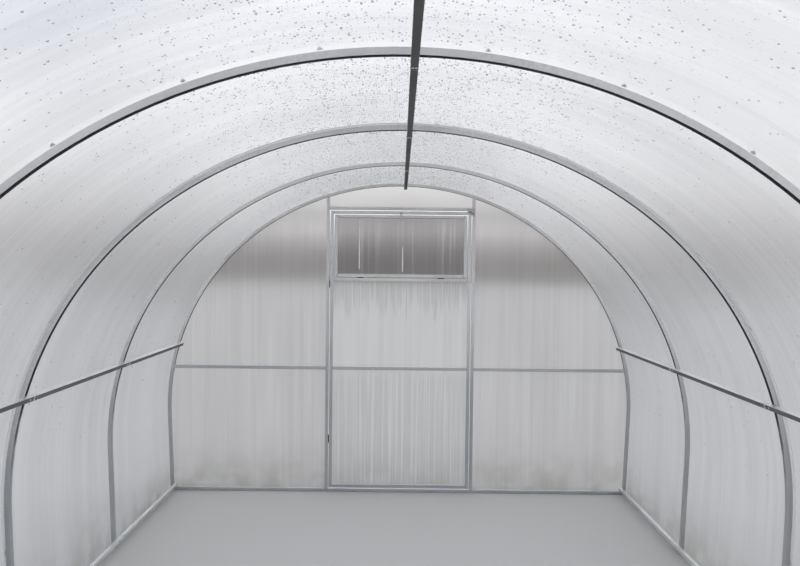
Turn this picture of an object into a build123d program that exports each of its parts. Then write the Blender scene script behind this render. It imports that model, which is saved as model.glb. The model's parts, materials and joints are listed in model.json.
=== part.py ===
from build123d import *
from math import cos, radians, sin, tan
import os

# Arched tunnel greenhouse: hoops of square steel tube under twin-wall polycarbonate sheets.
# X runs across the tunnel, Y along it and Z up. The origin is on the ground in the middle.

# Frame
bay = 1000.0  # spacing of the arches
bays = 6
crown_radius = 1555.0  # outer face of the arches across the top
haunch_radius = 1415.0  # outer face of the arches at the sides, where they are bent tighter
crown_angle = 37.4  # degrees to each side of the middle over which the top's bend holds
haunch_height = 560.0  # height of the side bends' centres above the ground
lean = 2.3  # degrees by which the legs lean in
tube = 20.0  # side of the square tube
wall = 1.2  # thickness of its wall
weld_gap = 0.2  # space left at a welded or screwed seat

# Long rails and their plugged joints
purlin_angle = 16.4  # degrees above the side bends' centres
ridge_angle = 89.0  # the ridge purlin runs just to one side of the crown
neck = 10.0  # length over which a tube's end narrows
plug_length = 40.0  # stretch of the narrowed end inside the next tube
plug_clearance = 0.2
joint_offset = 60.0  # from an arch to the tube joint behind it

# Polycarbonate
sheet = 4.0
bays_per_sheet = 2
lap = 50.0  # overlap of two cover sheets
overhang = 50.0  # cover beyond the end arches
ground_gap = 5.0  # sheets stop this far above the ground
sheet_gap = 0.3  # between a sheet and what it lies on
sheet_margin = 6.0  # bare tube around a sheet's edge
sheet_joint = 2.0  # between two end sheets on one post

# End walls
door_width = 908.0
door_drop = 180.0  # from the top of the arches down to the top of the leaf
door_gap = 5.5  # play around the leaf
threshold_gap = 8.0  # play under the leaf
mid_rail_height = 806.0  # middle of the end wall's and the leaf's cross rails
vent_drop = 444.0  # from the top of the leaf down to the middle of the rail under the vent
vent_gap = 6.0  # play around the vent sash

# Hinges
hinge_radius = 6.0
hinge_half = 24.5  # height of each half of a door hinge
hinge_play = 0.5  # between the two halves
low_hinge_rise = 312.0  # from the foot of the leaf up to the middle of its lower hinge
high_hinge_drop = 472.0  # from the top of the leaf down to the middle of its upper hinge
pin_radius = 3.0
pin_clearance = 0.15
pin_cap = 3.0  # solid end of the sleeve over the pin
pin_play = 1.0  # from the pin's tip to the end of its bore
vent_hinge_radius = 5.0
vent_hinge_length = 40.0
vent_hinge_spread = 520.0  # between the middles of the vent's two hinges
hinge_foot = 1.0  # a hinge's welded foot goes this far past its barrel

# Fittings of flat bar
bar = 3.0  # thickness
latch_width = 14.0
latch_length = 52.0
latch_margin = 3.0  # bare tube over the latch
latch_bevel = 5.0  # cut off the latch's corners
bolt_radius = 4.0  # the latch's bolt head, to its corners
bolt_height = 2.5
stop_size = 52.0  # the door stop's sides along the header and the post
stop_end = 14.0  # what is left of it at the ends of its slanting side
stop_margin = 4.0  # bare tube around it
stop_clearance = 0.5

length = bays * bay
bore = tube - 2 * wall
plug = bore - 2 * plug_clearance
haunch_x = (crown_radius - haunch_radius) * sin(radians(crown_angle))
crown_height = haunch_height - (crown_radius - haunch_radius) * cos(radians(crown_angle))
roof = crown_height + crown_radius
door_top = roof - door_drop
vent_rail_height = door_top - vent_drop
post_x = door_width / 2 + door_gap + tube / 2
leaf_bottom = tube + threshold_gap
lintel = door_top + door_gap  # underside of the header
vent_bottom = vent_rail_height + tube / 2 + vent_gap
vent_top = door_top - tube - vent_gap
vent_width = door_width - 2 * (tube + vent_gap)
end_face = Plane.XZ.offset(-length / 2)
end_inside = end_face.offset(tube)


def hoop_point(inset, angle):
    """The point of a hoop line that faces an angle above the horizontal. The line runs at an inset
    from the arches' outer face: below zero it lies outside the arches."""
    if angle < 90 - crown_angle:
        x, z, radius = haunch_x, haunch_height, haunch_radius
    else:
        x, z, radius = 0, crown_height, crown_radius
    return x + (radius - inset) * cos(radians(angle)), z + (radius - inset) * sin(radians(angle))


def foot_x(inset, height=0.0):
    """Distance of a hoop line's leg from the tunnel's middle, at a height above the ground."""
    x, z = hoop_point(inset, -lean)
    return x - (z - height) * tan(radians(lean))


def tunnel_area(inset, height=0.0, mode=Mode.ADD):
    """The area under a hoop line, down to a height above the ground."""
    foot = foot_x(inset, height)
    x, z = hoop_point(inset, 90 - crown_angle)
    with BuildLine() as outline:
        leg = Line((foot, height), hoop_point(inset, -lean))
        haunch = ThreePointArc(leg @ 1, hoop_point(inset, purlin_angle), (x, z))
        mirror([leg, haunch], about=Plane.YZ)
        ThreePointArc((x, z), (0, roof - inset), (-x, z))
        Line((-foot, height), (foot, height))
    make_face(outline.edges(), mode=mode)


def hoop_band(outer, inner, height=0.0):
    """The strip between two hoop lines."""
    tunnel_area(outer, height)
    tunnel_area(inner, height, mode=Mode.SUBTRACT)


def panel(left, right, low, high, mode=Mode.ADD):
    """A rectangle given by its sides."""
    with Locations(((left + right) / 2, (low + high) / 2)):
        Rectangle(right - left, high - low, mode=mode)


def finish(name, part):
    """Labels a finished piece and writes it."""
    part.label = name
    export_step(part, f"parts/{name}.step")


def both_ends(name, part):
    """Writes a piece of the back end, and its mirror image at the front end."""
    finish(f"back_{name}", part)
    with BuildPart() as twin:
        mirror(part, about=Plane.XZ)
    finish(f"front_{name}", twin.part)


def arch_places():
    """Where the middle of each arch stands along the tunnel. The end arches stay within its length."""
    end = (length - tube) / 2
    inner = [(n - bays / 2) * bay for n in range(1, bays)]
    return [-end] + inner + [end]


def make_arch(place):
    """A bent tube with leaning legs, open at its two feet. Only the legs are bored, up to the bends."""
    side, leg_top = hoop_point(0, -lean)
    with BuildPart() as arch:
        with BuildSketch(Plane.XZ.offset(-place)):
            hoop_band(0, tube)
        extrude(amount=tube / 2, both=True)
        with BuildSketch(Plane.XZ.offset(-place)):
            hoop_band(wall, tube - wall)
            panel(-side, side, 0, leg_top, mode=Mode.INTERSECT)
        extrude(amount=bore / 2, both=True, mode=Mode.SUBTRACT)
    return arch.part


def square(section, at, size):
    """A square across a rail."""
    with BuildSketch(section.offset(at)) as across:
        Rectangle(size, size)
    return across.sketch


def rail_tube(section, start, stop, plugged):
    """One tube of a long rail. A plugged one is narrowed past its stop, to enter the next tube."""
    with BuildPart() as piece:
        for size, plug_size, mode in ((tube, plug, Mode.ADD), (bore, plug - 2 * wall, Mode.SUBTRACT)):
            extrude(square(section, start, size), amount=stop - start, mode=mode)
            if plugged:
                tip = square(section, stop + neck, plug_size)
                loft([square(section, stop, size), tip], mode=mode)
                extrude(tip, amount=plug_length, mode=mode)
    return piece.part


def rail(section):
    """A long rail: a tube to each bay, each one plugged into the next just behind an arch."""
    mouths = [place + joint_offset for place in arch_places()[1:-1]]
    end = length / 2 - weld_gap
    tubes = [
        rail_tube(section, start, mouth - neck, True) for start, mouth in zip([-end] + mouths, mouths)
    ]
    return tubes + [rail_tube(section, mouths[-1], end, False)]


def purlin_section(side, angle):
    """The plane across a purlin that lies flat on the inside of the arches, at an angle around them."""
    x, z = hoop_point(tube + weld_gap + tube / 2, angle)
    out = (side * cos(radians(angle)), 0, sin(radians(angle)))
    return Plane(origin=(side * x, 0, z), x_dir=out, z_dir=(0, 1, 0))


def base_section(side):
    """The plane across a base rail that lies on the ends of the sills, against the arches' legs."""
    low = tube + weld_gap
    x = foot_x(tube, low) - weld_gap - tube / 2
    return Plane(origin=(side * x, 0, low + tube / 2), x_dir=(1, 0, 0), z_dir=(0, 1, 0))


def cover_sheet(number, count):
    """A sheet bent over the arches. Every second one laps over its neighbours."""
    lift = sheet_gap + number % 2 * (sheet + sheet_gap)
    first = -length / 2 + number * bays_per_sheet * bay
    last = first + bays_per_sheet * bay
    start = first - (overhang if number == 0 else lap / 2)
    stop = length / 2 + overhang if number == count - 1 else last + lap / 2
    with BuildPart() as cover:
        with BuildSketch(Plane.XZ.offset(-start)):
            hoop_band(-lift - sheet, -lift, ground_gap)
        extrude(amount=start - stop)
    return cover.part


def wall_tubes(*boxes):
    """Square tubes in the plane of the end wall, open at their ends and cut to the arch's curve.
    Each is given by its left, right, low and high side."""
    with BuildPart() as tubes:
        with BuildSketch(end_face):
            for left, right, low, high in boxes:
                panel(left, right, low, high)
            tunnel_area(tube + weld_gap, mode=Mode.INTERSECT)
        extrude(amount=tube)
        with BuildSketch(end_face.offset(wall)):
            for left, right, low, high in boxes:
                if high - low > right - left:
                    panel(left + wall, right - wall, low, high)
                else:
                    panel(left, right, low + wall, high - wall)
        extrude(amount=bore, mode=Mode.SUBTRACT)
    return tubes.part


def level_tube(left, right, height):
    """The sides of a level tube whose middle is at a height."""
    return left, right, height - tube / 2, height + tube / 2


def end_sheet(left, right, low, high):
    """A flat sheet on the outside of the end wall, cut to the arch's curve."""
    with BuildPart() as pane:
        with BuildSketch(end_face):
            tunnel_area(sheet_gap, ground_gap)
            panel(left, right, low, high, mode=Mode.INTERSECT)
        extrude(amount=-sheet)
    return pane.part


def foot_area(radius, gap):
    """The foot that joins a hinge barrel's middle to the tube beside the gap, to which it is welded.
    The tube's face lies one radius below the middle."""
    with BuildLine() as foot:
        Polyline((0, 0), (radius, 0), (radius + hinge_foot, -radius), (gap / 2, -radius), close=True)
    make_face(foot.edges())


def knuckle_area(radius, gap):
    """A hinge barrel's section with its foot."""
    Circle(radius)
    foot_area(radius, gap)


def door_hinge_plane(height, side):
    """The plane across a door hinge with its foot on one side: -1 for the post, 1 for the leaf.
    It faces away from the other half of the hinge."""
    axis_x = -(door_width + door_gap) / 2
    origin = (axis_x, length / 2 + hinge_radius, height + side * hinge_play / 2)
    return Plane(origin=origin, x_dir=(side, 0, 0), z_dir=(0, 0, side))


def make_hinge_pins():
    """The lower halves of the door's hinges, with their pins, welded to the post."""
    with BuildPart() as pins:
        for height in (leaf_bottom + low_hinge_rise, door_top - high_hinge_drop):
            below = door_hinge_plane(height, -1)
            with BuildSketch(below):
                knuckle_area(hinge_radius, door_gap)
            extrude(amount=hinge_half)
            with BuildSketch(below):
                Circle(pin_radius)
            extrude(amount=-(hinge_play + hinge_half - pin_cap - pin_play))
    return pins.part


def make_hinge_sleeves():
    """The upper halves of the door's hinges, bored for the pins, welded to the leaf."""
    with BuildPart() as sleeves:
        for height in (leaf_bottom + low_hinge_rise, door_top - high_hinge_drop):
            above = door_hinge_plane(height, 1)
            with BuildSketch(above):
                knuckle_area(hinge_radius, door_gap)
            extrude(amount=hinge_half)
            with BuildSketch(above):
                Circle(pin_radius + pin_clearance)
            extrude(amount=hinge_half - pin_cap, mode=Mode.SUBTRACT)
    return sleeves.part


def make_vent_hinges():
    """The closed hinges under the vent sash: a barrel each, with one foot on the rail and one on the sash."""
    y = length / 2 + vent_hinge_radius
    z = vent_bottom - vent_gap / 2
    with BuildPart() as hinges:
        for x in (-vent_hinge_spread / 2, vent_hinge_spread / 2):
            for way in (-1, 1):
                across = Plane(origin=(x, y, z), x_dir=(0, 0, way), z_dir=(-way, 0, 0))
                with BuildSketch(across):
                    foot_area(vent_hinge_radius, vent_gap)
                extrude(amount=vent_hinge_length / 2)
            with BuildSketch(across):
                Circle(vent_hinge_radius)
            extrude(amount=vent_hinge_length / 2, both=True)
    return hinges.part


def make_vent_latch():
    """The turn button inside, bolted to the leaf's top rail and turned down over the sash."""
    top = door_top - latch_margin
    with BuildPart() as latch:
        with BuildSketch(end_inside):
            with Locations((0, top - latch_length / 2)):
                plate = Rectangle(latch_width, latch_length)
            chamfer(plate.vertices(), latch_bevel)
        extrude(amount=bar)
        with BuildSketch(end_inside.offset(bar)):
            with Locations((0, door_top - tube / 2)):
                RegularPolygon(bolt_radius, 6)
        extrude(amount=bolt_height)
    return latch.part


def make_door_stop():
    """The plate across the inside of the corner of header and post. The leaf closes against it."""
    right = post_x + tube / 2 - stop_margin
    top = lintel + tube - stop_margin
    left = right - stop_size
    low = top - stop_size
    with BuildPart() as stop:
        with BuildSketch(end_inside.offset(stop_clearance)):
            with BuildLine() as edge:
                Polyline(
                    (left, top),
                    (right, top),
                    (right, low),
                    (right - stop_end, low),
                    (left, top - stop_end),
                    close=True,
                )
            make_face(edge.edges())
        extrude(amount=bar)
    return stop.part


os.makedirs("parts", exist_ok=True)

# Arches, counted from the front
for n, place in enumerate(arch_places(), start=1):
    finish(f"arch_{n}", make_arch(place))

# Long rails
ridge_tubes = rail(purlin_section(1, ridge_angle))
side_tubes = rail(purlin_section(-1, purlin_angle)) + rail(purlin_section(1, purlin_angle))
base_tubes = rail(base_section(-1)) + rail(base_section(1))
for name, tubes in (("ridge_purlin", ridge_tubes), ("side_purlins", side_tubes), ("base_rails", base_tubes)):
    with BuildPart() as rails:
        add(tubes)
    finish(name, rails.part)

# Cover sheets, counted from the front
sheets = -(-bays // bays_per_sheet)
for n in range(sheets):
    finish(f"cover_sheet_{n + 1}", cover_sheet(n, sheets))

# End frames
post_side = post_x + tube / 2
wall_side = haunch_x + haunch_radius
header_side = post_x - tube / 2 - weld_gap
both_ends(
    "door_posts",
    wall_tubes(
        (-post_side, tube - post_side, tube + weld_gap, roof),
        (post_side - tube, post_side, tube + weld_gap, roof),
    ),
)
both_ends("header", wall_tubes(level_tube(-header_side, header_side, lintel + tube / 2)))
both_ends("sill", wall_tubes(level_tube(-wall_side, wall_side, tube / 2)))
both_ends(
    "mid_rails",
    wall_tubes(
        level_tube(-wall_side, -post_side - weld_gap, mid_rail_height),
        level_tube(post_side + weld_gap, wall_side, mid_rail_height),
    ),
)
both_ends("door_stop", make_door_stop())
both_ends("hinge_pins", make_hinge_pins())

# End sheets
sheet_x = post_x + sheet_joint / 2
both_ends("left_sheet", end_sheet(-wall_side, -sheet_x, ground_gap, roof))
both_ends("right_sheet", end_sheet(sheet_x, wall_side, ground_gap, roof))
top_x = post_x - sheet_joint / 2
both_ends("top_sheet", end_sheet(-top_x, top_x, lintel + sheet_margin, roof))

# Door leaf
leaf_x = door_width / 2
leaf_rail_x = leaf_x - tube - weld_gap
rail_heights = (leaf_bottom + tube / 2, mid_rail_height, vent_rail_height, door_top - tube / 2)
both_ends(
    "door_frame",
    wall_tubes(
        (-leaf_x, tube - leaf_x, leaf_bottom, door_top),
        (leaf_x - tube, leaf_x, leaf_bottom, door_top),
        *[level_tube(-leaf_rail_x, leaf_rail_x, height) for height in rail_heights],
    ),
)
pane_x = leaf_x - sheet_margin
pane_top = vent_rail_height + tube / 2 - sheet_margin
both_ends("door_sheet", end_sheet(-pane_x, pane_x, leaf_bottom + sheet_margin, pane_top))
both_ends("hinge_sleeves", make_hinge_sleeves())

# Vent sash in the leaf
sash_x = vent_width / 2
sash_rail_x = sash_x - tube - weld_gap
both_ends(
    "vent_frame",
    wall_tubes(
        (-sash_x, tube - sash_x, vent_bottom, vent_top),
        (sash_x - tube, sash_x, vent_bottom, vent_top),
        level_tube(-sash_rail_x, sash_rail_x, vent_bottom + tube / 2),
        level_tube(-sash_rail_x, sash_rail_x, vent_top - tube / 2),
    ),
)
vent_x = sash_x - sheet_margin
both_ends("vent_sheet", end_sheet(-vent_x, vent_x, vent_bottom + sheet_margin, vent_top - sheet_margin))
both_ends("vent_hinges", make_vent_hinges())
both_ends("vent_latch", make_vent_latch())
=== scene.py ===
import json
import math
import random

import bpy
from mathutils import Matrix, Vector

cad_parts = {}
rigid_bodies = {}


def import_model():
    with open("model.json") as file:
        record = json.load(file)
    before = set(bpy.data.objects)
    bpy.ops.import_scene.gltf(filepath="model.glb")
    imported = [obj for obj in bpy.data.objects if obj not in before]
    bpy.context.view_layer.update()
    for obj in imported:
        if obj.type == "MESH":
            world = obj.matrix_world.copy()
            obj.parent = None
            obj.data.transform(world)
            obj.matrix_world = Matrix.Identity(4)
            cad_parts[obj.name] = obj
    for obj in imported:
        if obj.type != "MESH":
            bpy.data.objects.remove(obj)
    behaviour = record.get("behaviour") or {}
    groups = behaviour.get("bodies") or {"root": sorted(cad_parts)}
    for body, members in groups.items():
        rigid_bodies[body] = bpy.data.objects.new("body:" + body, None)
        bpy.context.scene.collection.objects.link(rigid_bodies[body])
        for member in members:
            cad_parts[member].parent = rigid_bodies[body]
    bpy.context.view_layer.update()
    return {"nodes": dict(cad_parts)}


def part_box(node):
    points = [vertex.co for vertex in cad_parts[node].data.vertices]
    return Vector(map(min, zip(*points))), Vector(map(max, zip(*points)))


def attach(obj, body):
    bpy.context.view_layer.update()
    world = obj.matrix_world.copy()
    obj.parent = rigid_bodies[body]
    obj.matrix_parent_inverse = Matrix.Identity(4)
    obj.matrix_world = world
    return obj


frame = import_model()
NODES = {o.name: o for o in bpy.data.objects if o.name in frame["nodes"]}

# Sizes in metres and degrees, the same as the solids' own. An arch has one bend over the crown and a tighter
# one, the haunch, at each side, and its legs lean inwards.
CROWN_R, CROWN_ANGLE = 1.555, 37.4
HAUNCH_R, HAUNCH_Z = 1.415, 0.56
LEAN = 2.3
TUBE, WELD_GAP = 0.020, 0.0002
SHEET, SHEET_GAP, FLUTE = 0.004, 0.0003, 0.006
HAUNCH_X = (CROWN_R - HAUNCH_R) * math.sin(math.radians(CROWN_ANGLE))
CROWN_Z = HAUNCH_Z - (CROWN_R - HAUNCH_R) * math.cos(math.radians(CROWN_ANGLE))
ARCHES = [-2.99, -2.0, -1.0, 0.0, 1.0, 2.0, 2.99]
BAY, LENGTH = 1.0, 6.0
LAP_AT, LAP = 1.0, 0.050  # where the cover sheets lap, both ways from the middle, and by how much
PURLIN_ANGLE, PURLIN_FACE = 16.4, -2 * TUBE - WELD_GAP
VENT_RAIL_UNDER, MID_RAIL = 1.37, 0.806
JOINT_SCREWS = 0.030  # from an arch to the screws behind it
ENDS = [("back", 1, "back_door"), ("front", -1, "greenhouse")]  # an end, its direction along Y, its leaf's body


def hoop(outset, angle, side=1):
    """A point of a line round the arches, further out by outset, and its outward direction, as (x, z) pairs."""
    a = math.radians(angle)
    if angle < 90 - CROWN_ANGLE:
        cx, cz, r = HAUNCH_X, HAUNCH_Z, HAUNCH_R
    else:
        cx, cz, r = 0.0, CROWN_Z, CROWN_R
    point = (side * (cx + (r + outset) * math.cos(a)), cz + (r + outset) * math.sin(a))
    return point, (side * math.cos(a), math.sin(a))


def leg(outset, height, side=1):
    """The same for the straight leg below the bends."""
    (x, z), _ = hoop(outset, -LEAN)
    t = math.radians(-LEAN)
    return (side * (x + (height - z) * math.tan(-t)), height), (side * math.cos(t), math.sin(t))


# Camera, at the photograph's place inside the tunnel
cam_data = bpy.data.cameras.new("camera")
cam_data.sensor_width = 36.0
cam_data.lens = 33.41
cam_data.clip_start, cam_data.clip_end = 0.02, 200.0
camera = bpy.data.objects.new("camera", cam_data)
bpy.context.collection.objects.link(camera)
CAM_PLACE = (-0.0037, -1.8112, 1.4775)
CAM_YAW, CAM_PITCH, CAM_ROLL = 0.009, -1.397, 0.632
camera.matrix_world = (
    Matrix.Translation(CAM_PLACE)
    @ Matrix.Rotation(math.radians(-CAM_YAW), 4, "Z")
    @ Matrix.Rotation(math.radians(90 + CAM_PITCH), 4, "X")
    @ Matrix.Rotation(math.radians(CAM_ROLL), 4, "Z")
)
bpy.context.scene.camera = camera
bpy.context.scene.view_settings.view_transform = "Standard"
cycles = bpy.context.scene.cycles
cycles.max_bounces, cycles.transmission_bounces = 10, 10
cycles.diffuse_bounces, cycles.glossy_bounces = 3, 3

WHITE = (1.0, 1.0, 1.0)


def new_material(name):
    mat = bpy.data.materials.new(name)
    mat.use_nodes = True
    tree = mat.node_tree
    return mat, tree, tree.nodes["Principled BSDF"]


def node(tree, kind, inputs=None, **props):
    n = tree.nodes.new(kind)
    for key, value in props.items():
        setattr(n, key, value)
    for key, value in (inputs or {}).items():
        if isinstance(value, bpy.types.NodeSocket):
            tree.links.new(value, n.inputs[key])
        else:
            n.inputs[key].default_value = value
    return n


def math_node(tree, operation, a, b=0.0, c=0.0, clamp=False):
    inputs = {0: a, 1: b, 2: c}
    return node(tree, "ShaderNodeMath", inputs, operation=operation, use_clamp=clamp).outputs[0]


def plus(tree, a, b):
    return math_node(tree, "ADD", a, b)


def minus(tree, a, b, clamp=False):
    return math_node(tree, "SUBTRACT", a, b, clamp=clamp)


def times(tree, a, b):
    return math_node(tree, "MULTIPLY", a, b)


def xyz_of(tree, vector):
    return node(tree, "ShaderNodeSeparateXYZ", {0: vector}).outputs


def position(tree):
    """The piece's own coordinates, which are the object's."""
    return node(tree, "ShaderNodeTexCoord").outputs["Object"]


def scaled_position(tree, scale):
    """The same, stretched by a factor along each axis."""
    return node(tree, "ShaderNodeMapping", {"Vector": position(tree), "Scale": scale}).outputs[0]


def facing_of(tree):
    """The direction that the surface faces, as x, y and z."""
    return xyz_of(tree, node(tree, "ShaderNodeNewGeometry").outputs["Normal"])


def noise(tree, scale, detail=2.0, stretch=(1, 1, 1), rough=0.5):
    vector = scaled_position(tree, tuple(s * scale for s in stretch))
    inputs = {"Vector": vector, "Scale": 1.0, "Detail": detail, "Roughness": rough}
    return node(tree, "ShaderNodeTexNoise", inputs).outputs["Fac"]


def cells(tree, scale):
    """Random cells, so many to a metre: their colours and the distances from their points."""
    inputs = {"Vector": scaled_position(tree, (scale,) * 3), "Scale": 1.0}
    return node(tree, "ShaderNodeTexVoronoi", inputs).outputs


def ramp(tree, value, low, high, out_low=0.0, out_high=1.0):
    """A smooth step between two ends, which may run downwards."""
    n = node(
        tree,
        "ShaderNodeMapRange",
        {"Value": value, "From Min": low, "From Max": high, "To Min": out_low, "To Max": out_high},
        interpolation_type="SMOOTHSTEP",
    )
    return n.outputs[0]


def mix_colour(tree, factor, a, b):
    n = node(tree, "ShaderNodeMix", data_type="RGBA")
    for key, value in ((0, factor), (6, a), (7, b)):
        if isinstance(value, bpy.types.NodeSocket):
            tree.links.new(value, n.inputs[key])
        else:
            n.inputs[key].default_value = value if key == 0 else (*value, 1.0)
    return n.outputs[2]


def blend(tree, base, amount, weight, colour):
    """The base, brought towards a colour where the amount is high."""
    return mix_colour(tree, times(tree, amount, weight), base, colour)


def toned(colour, factor):
    """A colour made darker or lighter, no brighter than white."""
    return tuple(min(1.0, c * factor) for c in colour)


def set_bump(tree, shader, height, strength, distance):
    b = node(tree, "ShaderNodeBump", {"Height": height, "Strength": strength, "Distance": distance})
    tree.links.new(b.outputs[0], shader.inputs["Normal"])


def steel(name, dark, light, rough, spangle=150.0, shaded=(0.003, 0.004, 0.012), low_darkening=0.0):
    """Hot-dip galvanised steel: spangle crystals and a chalky patina, with painted shade on faces that look down.

    Towards the ground it turns darker, by the weight given."""
    mat, tree, shader = new_material(name)
    crystal = node(tree, "ShaderNodeSeparateColor", {"Color": cells(tree, spangle)["Color"]}).outputs[0]
    patina = ramp(tree, noise(tree, 7.0, 3.0), 0.35, 0.7)
    warm = ramp(tree, noise(tree, 2.2, 2.0), 0.42, 0.58)
    slow = ramp(tree, noise(tree, 1.7, 1.0), 0.40, 0.62)
    scuff = ramp(tree, noise(tree, 60.0, 3.0, rough=0.65), 0.60, 0.72)
    low = ramp(tree, xyz_of(tree, position(tree))[2], 1.30, 0.55)
    # Painted shade: faces that look down are brought towards the colour 'shaded', a stand-in for the dark ground
    # they reflect, and are made rougher and less metallic
    underside_shade = ramp(tree, facing_of(tree)[2], -0.05, -0.32)
    base = mix_colour(tree, crystal, dark, light)
    base = blend(tree, base, warm, 0.6, (light[0], light[1] * 0.985, light[2] * 0.92))
    base = blend(tree, base, slow, 0.45, toned(dark, 0.80))
    base = blend(tree, base, patina, 0.30, toned(light, 1.10))
    base = blend(tree, base, scuff, 0.22, toned(dark, 0.6))
    # Darker towards the ground
    base = blend(tree, base, low, low_darkening, (0.30, 0.325, 0.36))
    base = blend(tree, base, underside_shade, 0.97, shaded)
    roughness = plus(tree, times(tree, crystal, 0.12), rough)
    roughness = plus(tree, roughness, times(tree, patina, 0.10))
    roughness = plus(tree, roughness, times(tree, underside_shade, 0.45))
    tree.links.new(base, shader.inputs["Base Color"])
    tree.links.new(math_node(tree, "MULTIPLY_ADD", underside_shade, -0.8, 0.8), shader.inputs["Metallic"])
    tree.links.new(roughness, shader.inputs["Roughness"])
    shader.inputs["Specular IOR Level"].default_value = 0.3
    set_bump(tree, shader, noise(tree, 700.0, 1.0), 0.12, 0.0004)
    return mat


def specks(tree, size, radius, keep):
    """Small round spots, one to a cell of a size, kept in a share of the cells. 1 inside a spot."""
    cell = cells(tree, 1 / size)
    inside = ramp(tree, cell["Distance"], radius / size, 0.6 * radius / size)
    pick = node(tree, "ShaderNodeSeparateColor", {"Color": cell["Color"]}).outputs[1]
    return times(tree, inside, math_node(tree, "LESS_THAN", pick, keep))


# Looks of the sheets: heights in metres, and specks as cell size, radius and share of the cells that have one
DEW, BEADS = (0.013, 0.0029, 0.8), (0.020, 0.0030, 0.30)
CORE_Z = 0.45  # seen from here, on the middle line, every part of the cover faces away
GRIME_Z = 0.35  # grime reaches up to here
SHADE_FROM, SHADE_TO = 1.66, 1.82  # between these the end walls' sheets turn darker


def finish_cover(tree, xyz, base, trans):
    """What only the cover has. Gives its colour, its transmission, and how far it faces outwards."""
    across, along, height = xyz
    facing = facing_of(tree)

    # The distance from the nearest arch's middle, and a painted highlight: lighter, clearer strips beside each
    # arch
    half = math_node(tree, "ABSOLUTE", along)
    end_gap = math_node(tree, "ABSOLUTE", minus(tree, half, ARCHES[-1]))
    free_gap = math_node(tree, "PINGPONG", along, BAY / 2)
    free = math_node(tree, "LESS_THAN", half, (LENGTH - BAY) / 2)
    arch_gap = node(tree, "ShaderNodeMix", {0: free, 2: end_gap, 3: free_gap}).outputs[0]
    highlight_strip = ramp(tree, arch_gap, 0.038, 0.024)
    base = blend(tree, base, highlight_strip, 0.45, WHITE)
    trans = math_node(tree, "ADD", trans, times(tree, highlight_strip, 0.03), clamp=True)

    # Dew, densest along the crown and in patches
    patch = ramp(tree, noise(tree, 3.2, 1.0), 0.38, 0.60)
    crowd = times(tree, ramp(tree, height, 1.25, 1.90), plus(tree, times(tree, patch, 0.8), 0.2))
    crowd = times(tree, crowd, minus(tree, 1.0, highlight_strip))
    base = blend(tree, base, times(tree, specks(tree, *DEW), crowd), 0.3, (0.34, 0.36, 0.40))

    # Beads and thin runs of water on the sides
    thread = ramp(tree, noise(tree, 1.0, 1.0, (1.1, 95.0, 1.1)), 0.68, 0.74)
    beads = math_node(tree, "MAXIMUM", specks(tree, *BEADS), times(tree, thread, 0.6))
    mist = times(tree, beads, ramp(tree, height, 1.70, 1.25))
    base = mix_colour(tree, mist, base, WHITE)
    trans = minus(tree, trans, times(tree, mist, 0.75), clamp=True)

    # Cut edges
    edge = ramp(tree, math_node(tree, "ABSOLUTE", facing[1]), 0.6, 0.9)
    base = mix_colour(tree, edge, base, (0.93, 0.94, 0.95))
    trans = times(tree, trans, minus(tree, 1.0, edge))

    # Painted shade: a darker strip over each arch, on the outside, where the tube lies behind the sheet
    outward = times(tree, facing[2], minus(tree, height, CORE_Z))
    outward = math_node(tree, "MULTIPLY_ADD", facing[0], across, outward)
    arch_shade = ramp(tree, arch_gap, 0.6 * TUBE, 0.5 * TUBE)
    arch_shade = times(tree, arch_shade, ramp(tree, outward, 0.0, 0.02))
    return mix_colour(tree, arch_shade, base, (0.56, 0.58, 0.61)), trans, outward


def add_drips(tree, height, tint, base, trans):
    """White drip runs of uneven length under the vent's rail, and down from the mid rail."""
    run = ramp(tree, noise(tree, 1.0, 3.0, (75.0, 1.0, 0.7)), 0.50, 0.62)
    reach = minus(tree, VENT_RAIL_UNDER, height)
    short = minus(tree, times(tree, noise(tree, 1.0, 1.0, (38.0, 1.0, 0.2)), 0.42), reach)
    upper = times(tree, ramp(tree, short, 0.0, 0.09), ramp(tree, reach, -0.02, 0.0))
    lower = times(tree, ramp(tree, height, MID_RAIL + 0.02, MID_RAIL - 0.10), 0.75)
    reached = math_node(tree, "ADD", upper, lower, clamp=True)
    drip = times(tree, run, reached)
    gaps = times(tree, ramp(tree, run, 0.35, 0.0), reached)
    base = mix_colour(tree, drip, base, WHITE)
    base = blend(tree, base, gaps, 0.8, toned(tint, 0.78))
    return base, minus(tree, trans, times(tree, drip, 0.40), clamp=True)


def add_water_line(tree, across, height, line, base, trans):
    """One flute that holds water. The line is its place across, and its two ends in height."""
    middle, low, high = line
    blur = 0.004
    off = math_node(tree, "ABSOLUTE", minus(tree, across, middle))
    held = times(tree, ramp(tree, off, 0.75 * FLUTE, 0.5 * FLUTE), ramp(tree, height, low - blur, low + blur))
    held = times(tree, held, ramp(tree, height, high + blur, high - blur))
    return mix_colour(tree, held, base, WHITE), minus(tree, trans, held, clamp=True)


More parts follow.
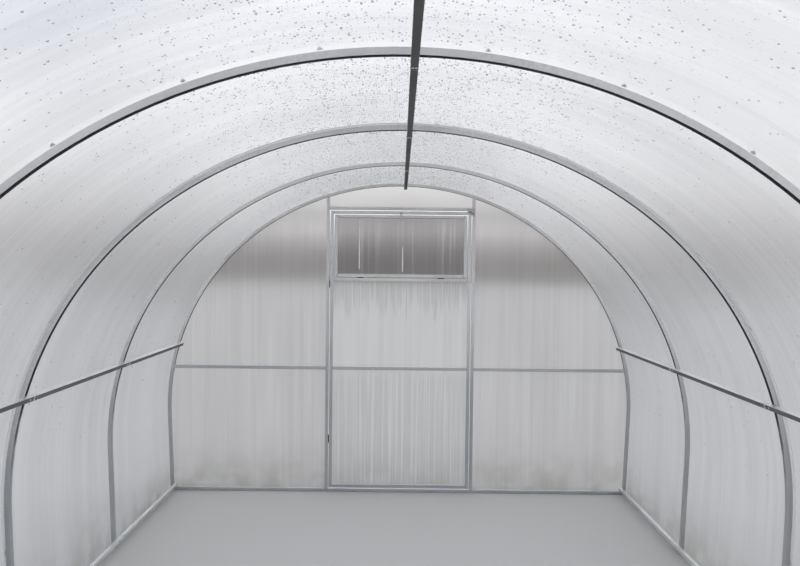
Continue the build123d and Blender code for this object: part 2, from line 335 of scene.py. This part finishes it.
def polycarbonate(name, across, tint, clear, cover=False, streaks=False, lines=()):
    """Clear twin-wall sheet. The flutes run square to the axis 'across' (0 for X, 1 for Y)."""
    mat, tree, shader = new_material(name)
    xyz = xyz_of(tree, position(tree))
    height = xyz[2]

    # The webs between the flutes, fibres and bands along them, and broad clouds
    saw = math_node(tree, "PINGPONG", times(tree, xyz[across], 1.0 / FLUTE), 0.5)
    web = ramp(tree, saw, 0.10, 0.02)
    fine = [0.7, 0.7, 0.7]
    fine[across] = 42.0
    broad = [0.3, 0.3, 0.3]
    broad[across] = 11.0
    fibre = noise(tree, 1.0, 2.0, fine, rough=0.65)
    band = ramp(tree, noise(tree, 1.0, 2.0, broad, rough=0.6), 0.34, 0.64)
    cloud = noise(tree, 1.3, 1.0)
    base = mix_colour(tree, band, toned(tint, 0.925 if cover else 0.97), tint)
    base = blend(tree, base, web, 0.35, toned(tint, 0.90))
    base = blend(tree, base, ramp(tree, fibre, 0.50, 0.34), 0.7, toned(tint, 0.90))
    base = blend(tree, base, ramp(tree, fibre, 0.52, 0.68), 0.8 if cover else 0.4, WHITE)
    grime = times(tree, ramp(tree, height, GRIME_Z, 0.0), ramp(tree, noise(tree, 9.0, 1.0), 0.38, 0.62))
    base = blend(tree, base, grime, 0.35, (0.45, 0.46, 0.36))
    trans = minus(tree, clear, times(tree, ramp(tree, cloud, 0.3, 0.8), 0.08))
    trans = minus(tree, trans, times(tree, web, 0.12))

    if cover:
        base, trans, outward = finish_cover(tree, xyz, base, trans)
    else:
        outward = times(tree, facing_of(tree)[1], xyz[1])
        base = mix_colour(tree, ramp(tree, height, SHADE_FROM, SHADE_TO), base, toned(tint, 0.64))
    if streaks:
        base, trans = add_drips(tree, height, tint, base, trans)
    for line in lines:
        base, trans = add_water_line(tree, xyz[across], height, line, base, trans)

    tree.links.new(base, shader.inputs["Base Color"])
    tree.links.new(trans, shader.inputs["Transmission Weight"])
    tree.links.new(plus(tree, times(tree, cloud, 0.14), 0.26), shader.inputs["Roughness"])
    tree.links.new(ramp(tree, outward, 0.0, 0.02, 0.12, 0.60), shader.inputs["Coat Weight"])
    shader.inputs["IOR"].default_value = 1.07
    shader.inputs["Coat Roughness"].default_value = 0.12
    shader.inputs["Coat IOR"].default_value = 1.45
    set_bump(tree, shader, saw, 0.12, 0.0006)
    return mat


def plain(name, colour, rough, metallic=0.0, transmission=0.0, ior=1.45, fleck=0.12):
    """A small part's material, with a little variation of tone and roughness."""
    mat, tree, shader = new_material(name)
    tone = noise(tree, 300.0, 3.0)
    base = mix_colour(tree, tone, toned(colour, 1 - fleck), toned(colour, 1 + fleck))
    roughness = ramp(tree, tone, 0.3, 0.7, rough * 0.85, rough * 1.15)
    tree.links.new(base, shader.inputs["Base Color"])
    tree.links.new(roughness, shader.inputs["Roughness"])
    shader.inputs["Metallic"].default_value = metallic
    shader.inputs["Transmission Weight"].default_value = transmission
    shader.inputs["IOR"].default_value = ior
    return mat


galvanised = steel("galvanised_steel", (0.74, 0.752, 0.765), (0.88, 0.89, 0.90), 0.30, low_darkening=0.6)
# The rails' copy of the steel: darker tones, and a lighter painted shade on faces that look down
RAIL_TONES = (0.66, 0.685, 0.71), (0.82, 0.84, 0.86)
rail_steel = steel("galvanised_rails", *RAIL_TONES, 0.30, shaded=(0.125, 0.124, 0.120))
zinc = steel("zinc_plate", (0.56, 0.57, 0.59), (0.70, 0.71, 0.74), 0.28, spangle=420.0)
dark_zinc = steel("darkened_zinc", (0.010, 0.010, 0.012), (0.025, 0.025, 0.028), 0.50, spangle=420.0)
cover_mat = polycarbonate("cover_polycarbonate", 1, (0.965, 0.97, 0.985), 0.96, cover=True)
end_mat = polycarbonate("end_polycarbonate", 0, (0.87, 0.86, 0.86), 0.95)
door_mat = polycarbonate("door_polycarbonate", 0, (0.94, 0.935, 0.93), 0.95, streaks=True)
WATER_LINES = [(-0.268, 1.446, 1.768), (0.012, 1.432, 1.593), (0.012, 1.735, 1.768)]
vent_mat = polycarbonate("vent_polycarbonate", 0, (0.56, 0.55, 0.56), 0.98, lines=WATER_LINES)

# Each solid gets its material, and the steel ones get rounded edges
SAME_POINT = 1e-5
TUBE_ROUNDING, FITTING_ROUNDING = 0.0011, 0.0006
ROUND_OVER = 40  # degrees between two faces, from which their edge is rounded
TUBE_MATERIALS = (galvanised, rail_steel)
STEEL_MATERIALS = (*TUBE_MATERIALS, zinc, dark_zinc)
SHEET_MATERIALS = {"cover": cover_mat, "door": door_mat, "vent": vent_mat}
for name, obj in NODES.items():
    if name.endswith("_sheet") or name.startswith("cover_sheet"):
        kind = "cover" if name.startswith("cover") else name.split("_")[1]
        mat = SHEET_MATERIALS.get(kind, end_mat)
    elif "hinge" in name:
        mat = dark_zinc
    elif name.endswith(("latch", "stop")):
        mat = zinc
    elif "purlin" in name or name == "base_rails":
        mat = rail_steel
    else:
        mat = galvanised
    for material_slot in obj.material_slots:
        material_slot.material = mat
    weld = obj.modifiers.new("join", "WELD")
    weld.merge_threshold = SAME_POINT
    if mat in STEEL_MATERIALS:
        round_off = obj.modifiers.new("rounding", "BEVEL")
        round_off.width = TUBE_ROUNDING if mat in TUBE_MATERIALS else FITTING_ROUNDING
        round_off.segments = 2
        round_off.limit_method = "ANGLE"
        round_off.angle_limit = math.radians(ROUND_OVER)
        round_off.use_clamp_overlap = False
        round_off.harden_normals = True


def unit(v):
    n = math.sqrt(sum(c * c for c in v))
    return tuple(c / n for c in v)


def cross(a, b):
    return (a[1] * b[2] - a[2] * b[1], a[2] * b[0] - a[0] * b[2], a[0] * b[1] - a[1] * b[0])


def lathe(profile, sides):
    """Rings of points round the local Z axis, with faces between them and a closed first and last end."""
    verts = []
    for r, z in profile:
        for k in range(sides):
            a = 2 * math.pi * k / sides
            verts.append((r * math.cos(a), r * math.sin(a), z))
    faces = [tuple(reversed(range(sides)))]
    for ring in range(len(profile) - 1):
        for k in range(sides):
            j = (k + 1) % sides
            a, b = ring * sides, (ring + 1) * sides
            faces.append((a + k, a + j, b + j, b + k))
    last = (len(profile) - 1) * sides
    faces.append(tuple(last + k for k in range(sides)))
    return verts, faces


def place(name, shapes, material, body, smooth=True):
    """One mesh of many copies: each shape is (template, origin, normal, up, scale along up, side and normal)."""
    verts, faces = [], []
    for (points, loops), origin, normal, up, scale in shapes:
        n = unit(normal)
        side = unit(cross(up, n))
        u = cross(n, side)
        first = len(verts)
        for point in points:
            x, y, z = (c * s for c, s in zip(point, scale))
            verts.append(tuple(origin[i] + u[i] * x + side[i] * y + n[i] * z for i in range(3)))
        faces.extend(tuple(first + i for i in loop) for loop in loops)
    mesh = bpy.data.meshes.new(name)
    mesh.from_pydata(verts, [], faces)
    mesh.update()
    for poly in mesh.polygons:
        poly.use_smooth = smooth
    obj = bpy.data.objects.new(name, mesh)
    bpy.context.collection.objects.link(obj)
    mesh.materials.append(material)
    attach(obj, body)


washer_mat = plain("washer_plastic", (0.93, 0.94, 0.95), 0.30, transmission=0.9, ior=1.2, fleck=0.03)
# Zinc for the joint screws, near white: real screws, with a painted highlight in their paleness
button_mat = plain("bright_zinc", (0.90, 0.91, 0.93), 0.35, metallic=0.25, fleck=0.04)
screw_mat = plain("screw_zinc", (0.62, 0.63, 0.66), 0.28, metallic=0.95)
water = plain("water", (0.70, 0.72, 0.75), 0.03, transmission=1.0, ior=1.33, fleck=0.02)
weld_mat = plain("weld_bead", (0.40, 0.405, 0.42), 0.36, metallic=0.85, fleck=0.3)
# Black for the rod of painted shade at the stop plates
shade_rod_black = plain("buffer_rubber", (0.015, 0.015, 0.016), 0.6)

# Turned shapes of the screws, as radius and height of each ring, and the sizes and directions they are laid in
WASHER = lathe([(0.0070, 0.0), (0.0072, 0.0006), (0.0066, 0.0014), (0.0045, 0.0016)], 20)
FLANGE = lathe([(0.0056, 0.0014), (0.0056, 0.0020), (0.0046, 0.0024)], 18)
HEX = lathe([(0.0041, 0.0020), (0.0041, 0.0046), (0.0034, 0.0050)], 6)
PAN = lathe([(0.0044, 0.0), (0.0043, 0.0010), (0.0034, 0.0019), (0.0016, 0.0023)], 16)
FULL_SIZE, BUTTON_SIZE = (1.0, 1.0, 1.0), (0.85, 0.85, 1.1)
BUTTON_SHIFT = 0.0045  # from the middle of a pair to each button
LEG_SCREWS = (0.10, 0.36)  # heights up a leg
BEND_SCREWS = (15.0, 29.0, 43.0, 57.0, 70.0, 82.5)  # degrees round the bends
ALONG_X, ALONG_Y, ALONG_Z = (1, 0, 0), (0, 1, 0), (0, 0, 1)

heads, washers, buttons = {}, {}, []


def outer_screw(body, point, normal, up):
    """A hexagonal self-drilling screw on its rubber washer, seated on a sheet."""
    washers.setdefault(body, []).append((WASHER, point, normal, up, FULL_SIZE))
    for shape in (FLANGE, HEX):
        heads.setdefault(body, []).append((shape, point, normal, up, FULL_SIZE))


def inner_screw(point, normal):
    """A pan head on a tube's face, inside the tunnel."""
    heads.setdefault("greenhouse", []).append((PAN, point, normal, ALONG_Y, FULL_SIZE))


def joint_screws(point, normal):
    """Two button heads side by side, on a rail just behind an arch, pale with a painted highlight."""
    side = cross(ALONG_Y, unit(normal))
    for shift in (-BUTTON_SHIFT, BUTTON_SHIFT):
        spot = tuple(point[i] + side[i] * shift for i in range(3))
        buttons.append((PAN, spot, normal, ALONG_Y, BUTTON_SIZE))


# Screws along the arches: in pairs at the rails' joints, and on each arch, outside and inside
base_lo, base_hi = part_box("base_rails")
ridge_lo, ridge_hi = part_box("ridge_purlin")
base_z = (base_lo[2] + base_hi[2]) / 2
for y in ARCHES[1:-1]:
    joint_y = y + JOINT_SCREWS
    joint_screws(((ridge_lo[0] + ridge_hi[0]) / 2, joint_y, ridge_lo[2]), (0, 0, -1))
    for side in (-1, 1):
        (x, z), (nx, nz) = hoop(PURLIN_FACE, PURLIN_ANGLE, side)
        joint_screws((x, joint_y, z), (-nx, 0, -nz))
        top = (x + side * TUBE / 2 * (abs(nx) - nz), joint_y, z + TUBE / 2 * (nz + abs(nx)))
        joint_screws(top, (-side * nz, 0, abs(nx)))
        joint_screws((side * (base_hi[0] - TUBE), joint_y, base_z), (-side, 0, 0))
        joint_screws((side * (base_hi[0] - TUBE / 2), joint_y, base_hi[2]), (0, 0, 1))
for y in ARCHES:
    outset = SHEET + SHEET_GAP
    if abs(y) < LAP_AT + LAP / 2:
        outset *= 2
    for side in (-1, 1):
        spots = [leg(outset, z, side) for z in LEG_SCREWS]
        spots += [hoop(outset, angle, side) for angle in BEND_SCREWS]
        for (x, z), (nx, nz) in spots:
            outer_screw("greenhouse", (x, y, z), (nx, 0, nz), ALONG_Y)
        (x, z), (nx, nz) = hoop(PURLIN_FACE, PURLIN_ANGLE, side)
        inner_screw((x, y, z), (-nx, 0, -nz))
        inner_screw((side * (base_hi[0] - TUBE), y, base_z), (-side, 0, 0))

# Screws of the end walls, on the sheets outside. Each row runs along a tube behind the sheet, at its own distance
# from that tube's edge.
POST_ROW, LEAF_ROW, SASH_ROW, HEADER_ROW = 0.0045, 0.012, 0.011, 0.004
VENT_RAIL_ROW, VENT_RAIL_WELD = 0.019, 0.016  # both under the sash
door_lo, door_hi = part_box("back_door_frame")
vent_lo, vent_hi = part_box("back_vent_frame")
post_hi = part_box("back_door_posts")[1]
mid_rail_lo, mid_rail_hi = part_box("back_mid_rails")
header_lo, header_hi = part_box("back_header")
rail_z, header_z = (mid_rail_lo[2] + mid_rail_hi[2]) / 2, (header_lo[2] + header_hi[2]) / 2


def spaced(first, last, step):
    """Places from the first to the last, about a step apart."""
    gaps = max(1, round(abs(last - first) / step))
    return [first + (last - first) * k / gaps for k in range(gaps + 1)]


leaf_heights = (door_lo[2] + SASH_ROW, rail_z, vent_lo[2] - VENT_RAIL_ROW)
sash_heights = (vent_lo[2] + SASH_ROW, vent_hi[2] - SASH_ROW)
for _, sign, leaf in ENDS:
    y = sign * (LENGTH / 2 + SHEET)
    rows = []
    for side in (-1, 1):
        arc = [leg(-TUBE / 2, z, side)[0] for z in (0.15, 0.45)]
        arc += [hoop(-TUBE / 2, angle, side)[0] for angle in range(8, 88, 12)]
        rows += [("greenhouse", point) for point in arc]
        rows += [("greenhouse", (side * (post_hi[0] - POST_ROW), z)) for z in spaced(0.12, 1.74, 0.33)]
        rows += [("greenhouse", (side * x, rail_z)) for x in spaced(0.60, 1.30, 0.35)]
        rows += [(leaf, (side * (door_hi[0] - LEAF_ROW), z)) for z in spaced(0.16, 1.30, 0.33)]
        sash_side = spaced(vent_lo[2] + 0.05, vent_hi[2] - 0.05, 0.3)
        rows += [(leaf, (side * (vent_hi[0] - SASH_ROW), z)) for z in sash_side]
    rows += [("greenhouse", (x, header_z + HEADER_ROW)) for x in spaced(-0.38, 0.38, 0.38)]
    rows += [(leaf, (x, z)) for x in spaced(-0.33, 0.33, 0.33) for z in leaf_heights]
    rows += [(leaf, (x, z)) for x in (-0.2, 0.2) for z in sash_heights]
    for body, (x, z) in rows:
        outer_screw(body, (x, y, z), (0, sign, 0), ALONG_Z)

for body, shapes in washers.items():
    place(f"washers_{body}", shapes, washer_mat, body)
for body, shapes in heads.items():
    place(f"screws_{body}", shapes, screw_mat, body, smooth=False)
place("joint_screws", buttons, button_mat, "greenhouse")

# Weld beads on the inner faces of the end frames, where one tube butts against another
BEAD = lathe([(0.0016, -0.0004), (0.0017, 0.0004), (0.0009, 0.0010)], 8)
WELD_LENGTH, RIPPLE, JITTER = 0.016, 0.0017, 0.0003
rng = random.Random(11)
beads = {}


def bead(body, x, z, y, into, upright=True):
    """A row of overlapping ripples of weld, along Z or along X."""
    steps = round(WELD_LENGTH / RIPPLE)
    along = ALONG_Z if upright else ALONG_X
    for k in range(steps + 1):
        t = (k / steps - 0.5) * WELD_LENGTH
        px = x + rng.uniform(-JITTER, JITTER) + t * along[0]
        pz = z + rng.uniform(-JITTER, JITTER) + t * along[2]
        size = rng.uniform(0.85, 1.2)
        scale = (size, size * 1.15, size)
        beads.setdefault(body, []).append((BEAD, (px, y, pz), (0, into, 0), along, scale))


leaf_welds = (door_lo[2] + TUBE / 2, rail_z, vent_lo[2] - VENT_RAIL_WELD, door_hi[2] - TUBE / 2)
sash_welds = (vent_lo[2] + TUBE / 2, vent_hi[2] - TUBE / 2)
for _, sign, leaf in ENDS:
    y = sign * (LENGTH / 2 - TUBE)
    for side in (-1, 1):
        bead("greenhouse", side * (post_hi[0] - TUBE), header_z, y, -sign)
        bead("greenhouse", side * post_hi[0], rail_z, y, -sign)
        bead("greenhouse", side * (post_hi[0] - TUBE / 2), TUBE, y, -sign, upright=False)
        bead("greenhouse", side * leg(-TUBE, rail_z)[0][0], rail_z, y, -sign)
        for z in leaf_welds:
            bead(leaf, side * (door_hi[0] - TUBE), z, y, -sign)
        for z in sash_welds:
            bead(leaf, side * (vent_hi[0] - TUBE), z, y, -sign)
for body, shapes in beads.items():
    place(f"weld_beads_{body}", shapes, weld_mat, body)

# Painted shade: a black rod on the slanting side of each stop plate, seated a fraction of the plate's size from
# its corner
SHADE_ROD_R, SHADE_ROD_LENGTH, SHADE_ROD_END = 0.0020, 0.0350, 0.0004
SHADE_ROD_PLACE, SHADE_ROD_SLANT = (0.3, 0.62), (0.84, 0, -0.54)
ROD = lathe(
    [
        (0.8 * SHADE_ROD_R, 0.0),
        (SHADE_ROD_R, SHADE_ROD_END),
        (SHADE_ROD_R, SHADE_ROD_LENGTH - SHADE_ROD_END),
        (0.8 * SHADE_ROD_R, SHADE_ROD_LENGTH),
    ],
    10,
)
for end, sign, _ in ENDS:
    (x0, y0, z0), (x1, y1, z1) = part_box(f"{end}_door_stop")
    inner_y = (y0 if sign > 0 else y1) - sign * SHADE_ROD_R
    foot = (x0 + SHADE_ROD_PLACE[0] * (x1 - x0), inner_y, z0 + SHADE_ROD_PLACE[1] * (z1 - z0))
    rod = (ROD, foot, SHADE_ROD_SLANT, ALONG_Y, FULL_SIZE)
    place(f"{end}_stop_buffer", [rod], shade_rod_black, "greenhouse")

# Condensation on the inside of the cover: close-set drops along the crown, fewer down the sides
DROP = lathe([(1.0, 0.0), (0.92, 0.26), (0.55, 0.48)], 8)
SMALL_DROP = lathe([(1.0, 0.0), (0.66, 0.40)], 6)
SMALL_BELOW = 0.0019  # the radius under which a drop has the simpler shape
CELL = 0.0076  # the room of one drop
DRY_STRIP = 0.035  # beside each arch
TOP, LOWEST = 90, 88  # degrees up at the crown, and down from it to the lowest drops


def cover_inside(y):
    return SHEET_GAP if abs(y) > LAP_AT - LAP / 2 else SHEET + 2 * SHEET_GAP


def wet(angle):
    """How closely the drops stand, from 0 to 1."""
    crown = math.exp(-(((TOP - angle) / 18.0) ** 2))
    return crown + 0.018


def drops(name, y_from, y_to, count, seed, least):
    """Drops scattered over one bay, each in a cell of its own so that no two run together."""
    dice = random.Random(seed)
    turn = math.degrees(CELL / CROWN_R)
    taken, shapes = set(), []
    while len(shapes) < count:
        across, along = dice.randrange(int(LOWEST / turn)), dice.randrange(int((y_to - y_from) / CELL))
        side = dice.choice((-1, 1))
        r = least + 0.0021 * dice.random() ** 2.6
        free = 0.5 - r / CELL
        angle = TOP - turn * (across + 0.5 + dice.uniform(-free, free))
        y = y_from + CELL * (along + (across * 0.37) % 1.0 + dice.uniform(-free, free))
        if (side, across, along) in taken or dice.random() > wet(angle):
            continue
        if min(abs(y - arch) for arch in ARCHES) < DRY_STRIP:
            continue
        taken.add((side, across, along))
        (x, z), (nx, nz) = hoop(cover_inside(y), angle, side)
        down = (-side * nz, 0, side * nx)
        # Drops are longer on the steep sides and hang deeper under the crown
        slope = 1.0 + 0.7 * (TOP - angle) / TOP
        hang = 1.0 + 0.9 * math.exp(-(((TOP - angle) / 25.0) ** 2))
        template = DROP if r > SMALL_BELOW else SMALL_DROP
        shapes.append((template, (x, y, z), (-nx, 0, -nz), down, (r * slope, r, r * hang)))
    place(name, shapes, water, "greenhouse")


# How many drops each bay has and the radius of its smallest, from the front end to the back
BAYS = [(2600, 0.0011), (2600, 0.0011), (4000, 0.0009), (6000, 0.0010), (3400, 0.0013), (2500, 0.0017)]
FIRST_FROM, FIRST_TO = -2.98, -2.02  # the ends of the first bay's drops
for bay, (count, least) in enumerate(BAYS):
    count = count
    drops(f"drops_{bay + 1}", bay + FIRST_FROM, bay + FIRST_TO, count, bay + 5, least)

# A round pale floor as the stage
bpy.ops.mesh.primitive_circle_add(vertices=96, radius=60, fill_type="NGON", location=(0, 0, -0.001))
floor = bpy.context.object
floor.name = "studio_floor"
floor_mat, tree, shader = new_material("studio_floor")
shader.inputs["Base Color"].default_value = (0.58, 0.58, 0.57, 1.0)
shader.inputs["Roughness"].default_value = 0.9
floor.data.materials.append(floor_mat)

# A bright overcast sky. Straight ahead it is dark at the horizon and brightest just over it. The sheets shut out
# direct light from it, so sampling it directly would only cost time.
world = bpy.data.worlds.new("studio_light")
bpy.context.scene.world = world
world.use_nodes = True
world.cycles.sampling_method = "NONE"
tree = world.node_tree
background = tree.nodes["Background"]
sideways, forward, up = xyz_of(tree, node(tree, "ShaderNodeTexCoord").outputs["Generated"])
horizon = mix_colour(tree, ramp(tree, forward, 0.78, 0.94), (0.74, 0.735, 0.73), (0.27, 0.262, 0.255))
bright = mix_colour(tree, ramp(tree, forward, 0.93, 0.99), (1.10, 1.10, 1.11), (1.85, 1.84, 1.85))
low_sky = mix_colour(tree, ramp(tree, up, 0.0, 0.14), horizon, bright)
side_sky = mix_colour(tree, ramp(tree, sideways, -0.55, 0.40), (0.87, 0.895, 0.955), (1.05, 1.055, 1.085))
top_sky = mix_colour(tree, ramp(tree, forward, 0.86, 0.97), side_sky, (1.17, 1.18, 1.22))
sky = mix_colour(tree, ramp(tree, up, 0.12, 0.30), low_sky, top_sky)
tree.links.new(sky, background.inputs["Color"])
background.inputs["Strength"].default_value = 1.02
